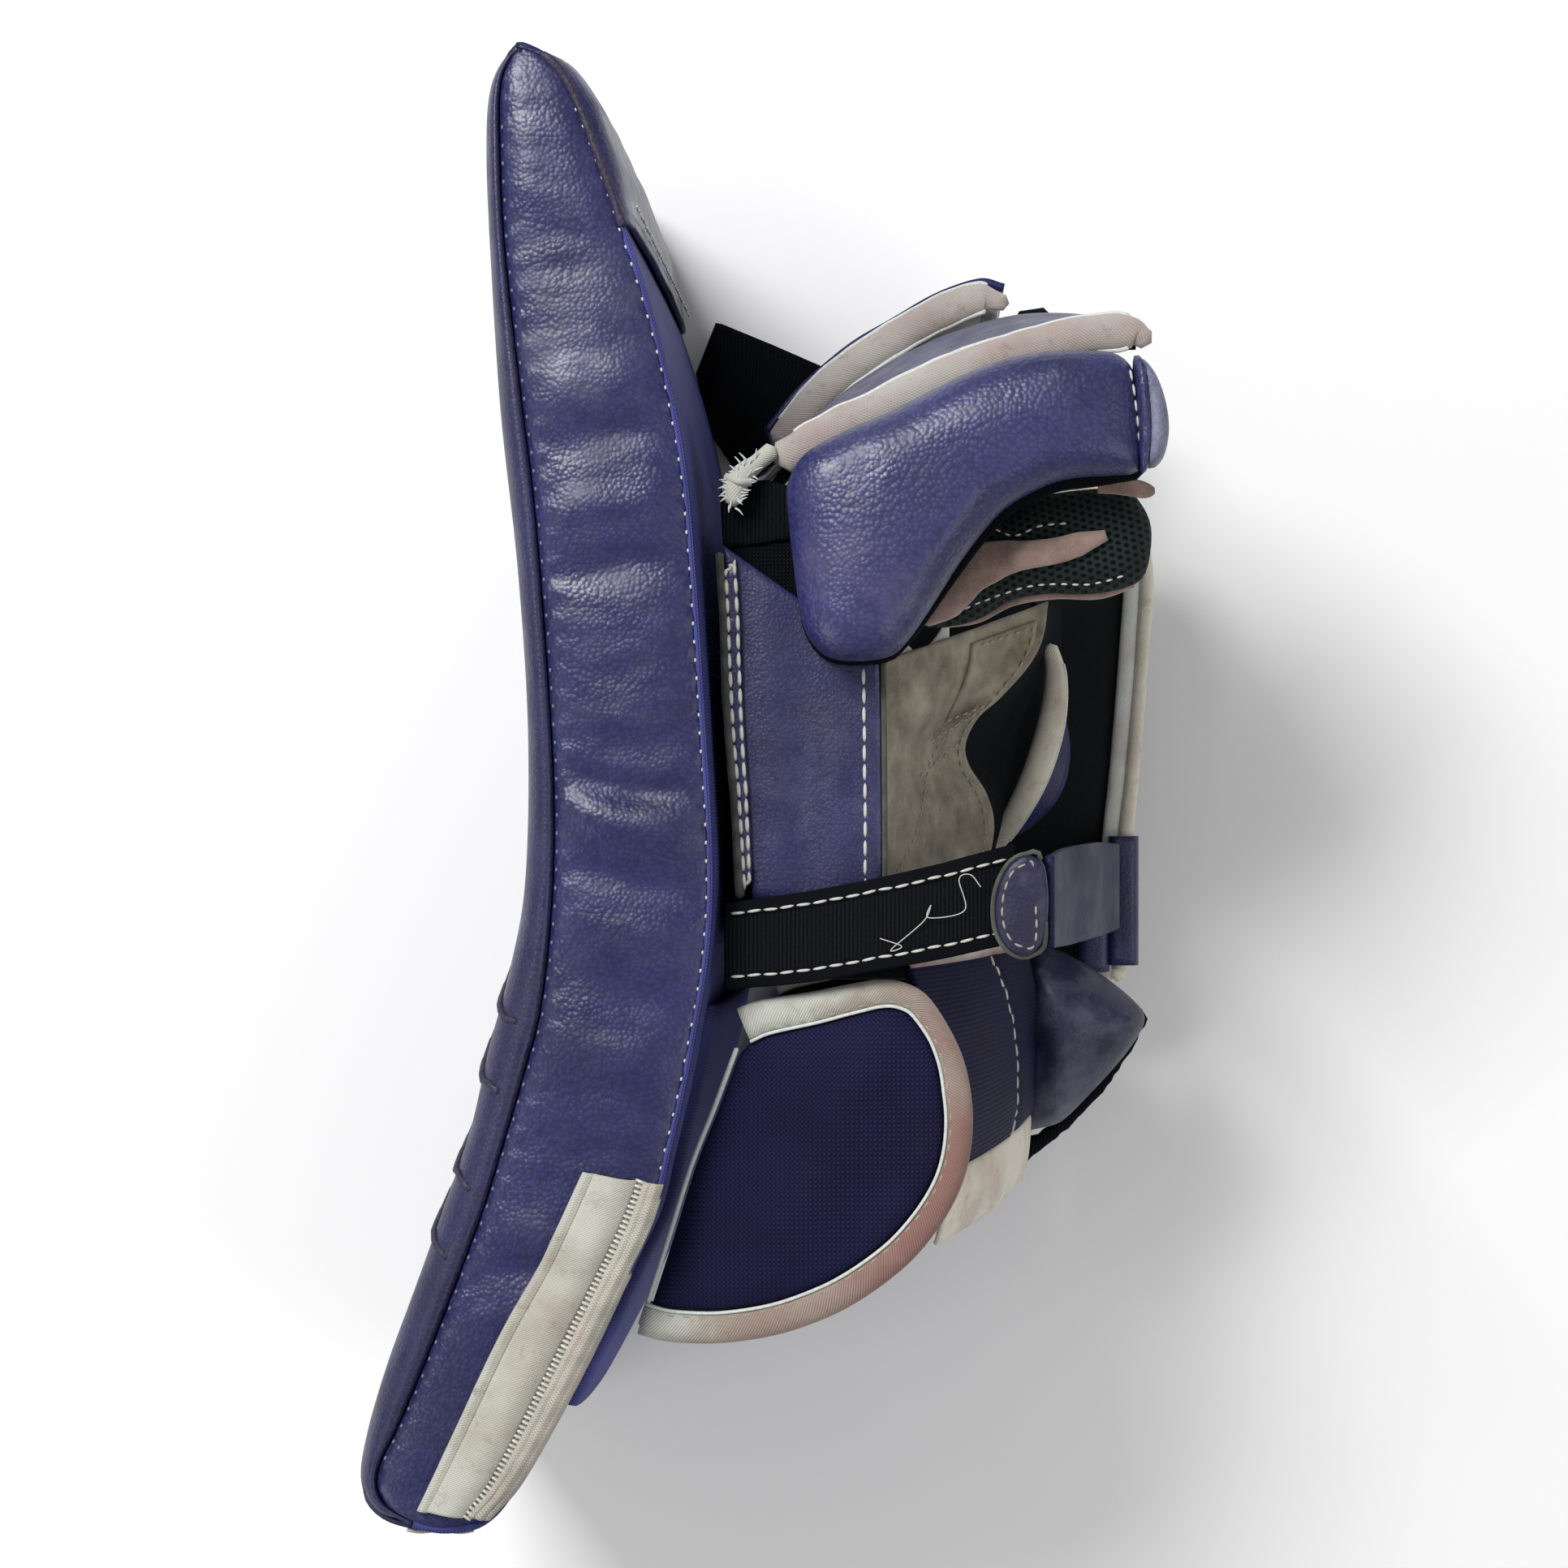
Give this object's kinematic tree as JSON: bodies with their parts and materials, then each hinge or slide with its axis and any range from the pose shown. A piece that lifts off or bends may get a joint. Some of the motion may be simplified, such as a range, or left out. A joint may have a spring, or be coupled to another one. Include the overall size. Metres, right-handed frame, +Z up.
{
  "type": "goalie blocker glove",
  "caption": "Ice hockey goalie blocker: long padded board with a glove, finger and thumb guards, cuff wings and wrist strap sewn to its back.",
  "frame": {"origin": "middle of the far long side of the board, which the blocker lies on", "axes": "+Y along the board towards the fingertips, +X from the striking face towards the palm, +Z up, across the board towards the thumb"},
  "size_m": [0.2143, 0.385, 0.2056],
  "materials": {
    "face_leather": "pebbled synthetic leather, glossy",
    "side_leather": "pebbled synthetic leather, glossy",
    "smooth_leather": "smooth synthetic leather, worn",
    "plastic_sheet": "natural sheet",
    "foam": "closed-cell foam",
    "navy_nylon": "woven nylon",
    "black_nylon": "woven nylon",
    "finger_knit": "spacer mesh",
    "palm_velour": "brushed lining",
    "suede": "worn suede",
    "white_binding": "woven twill tape, stained",
    "flap_nylon": "woven nylon",
    "hook_loop": "looped pile",
    "zip_tape": "herringbone tape",
    "zip_teeth": "translucent nylon coil",
    "zip_metal": "worn enamel"
  },
  "bodies": {
    "board": {"back_cloth_panel": "navy_nylon", "backhand_pad": "black_nylon", "board_foam_core": "foam", "cuff_back_pad": "navy_nylon", "cuff_end_cap": "side_leather", "face_panel": "face_leather", "face_stiffener": "plastic_sheet", "far_wall": "black_nylon", "far_wall_binding": "white_binding", "finger_end_flap": "black_nylon", "fingertip_end_cap": "side_leather", "glove_back": "black_nylon", "heel_flap": "flap_nylon", "heel_flap_binding": "white_binding", "palm_base": "palm_velour", "palm_suede": "suede", "side_gusset": "black_nylon", "side_panel": "smooth_leather", "side_panel_hem": "smooth_leather", "side_wall_far": "side_leather", "side_wall_near": "side_leather", "strap_keeper": "smooth_leather", "strap_leather": "smooth_leather", "strap_loop_band": "hook_loop", "wrist_hook_strip": "hook_loop", "wrist_pad": "smooth_leather", "wrist_wrap": "navy_nylon", "zip_tape_end": "zip_tape", "zip_tape_side": "zip_tape", "zip_teeth_end": "zip_teeth", "zip_teeth_side": "zip_teeth"},
    "thumb": {"thumb_guard": "smooth_leather", "thumb_guard_base": "foam", "thumb_guard_cap": "smooth_leather", "thumb_sleeve": "finger_knit", "thumb_suede": "suede", "thumb_pull_tab": "suede"},
    "index_finger": {"index_guard_shell": "smooth_leather", "index_guard_insert": "plastic_sheet", "index_guard_foam": "foam", "index_guard_binding": "white_binding", "index_sleeve": "finger_knit"},
    "fingers": {"finger_guard_shell": "smooth_leather", "finger_guard_insert": "plastic_sheet", "finger_guard_foam": "foam", "finger_guard_binding": "white_binding", "little_finger_sleeve": "finger_knit", "ring_finger_sleeve": "finger_knit", "middle_finger_sleeve": "finger_knit"},
    "near_wing": {"near_wing_lining": "black_nylon", "near_wing_foam": "foam", "near_wing_cover": "navy_nylon", "near_wing_binding": "white_binding"},
    "far_wing": {"far_wing_cover": "navy_nylon", "far_wing_foam": "foam", "far_wing_lining": "black_nylon", "far_wing_binding": "white_binding"},
    "tab": {"strap_tab": "smooth_leather"},
    "slider": {"zip_slider": "zip_metal", "zip_pull": "zip_metal"}
  },
  "joints": [
    {"name": "thumb_swing", "type": "hinge", "parent": "board", "child": "thumb", "pos_m": [0.06, 0.044, 0.183], "axis": [0, 0, 1], "range_deg": [-12, 5], "stiffness_Nm_per_rad": 0.4},
    {"name": "index_bend", "type": "hinge", "parent": "board", "child": "index_finger", "pos_m": [0.028, 0.084, 0.152], "axis": [0, 0, 1], "range_deg": [-3, 20], "stiffness_Nm_per_rad": 0.4},
    {"name": "fingers_bend", "type": "hinge", "parent": "board", "child": "fingers", "pos_m": [0.029, 0.102, 0.057], "axis": [0, 0, 1], "range_deg": [-5, 20], "stiffness_Nm_per_rad": 0.4},
    {"name": "near_wing_flare", "type": "hinge", "parent": "board", "child": "near_wing", "pos_m": [0.027, -0.068, 0.1775], "axis": [0.3029, 0.953, 0], "range_deg": [-40, 0], "stiffness_Nm_per_rad": 0.3},
    {"name": "far_wing_fold", "type": "hinge", "parent": "board", "child": "far_wing", "pos_m": [0.027, -0.068, 0.009], "axis": [0.3029, 0.953, 0], "range_deg": [-20, 0], "stiffness_Nm_per_rad": 0.3},
    {"name": "tab_peel", "type": "hinge", "parent": "board", "child": "tab", "pos_m": [0.1075, -0.03, 0.1906], "axis": [0, 1, 0], "range_deg": [0, 120]},
    {"name": "zip_slide", "type": "slide", "parent": "board", "child": "slider", "axis": [0, 0, 1], "range_m": [0, 0.15]}
  ]
}
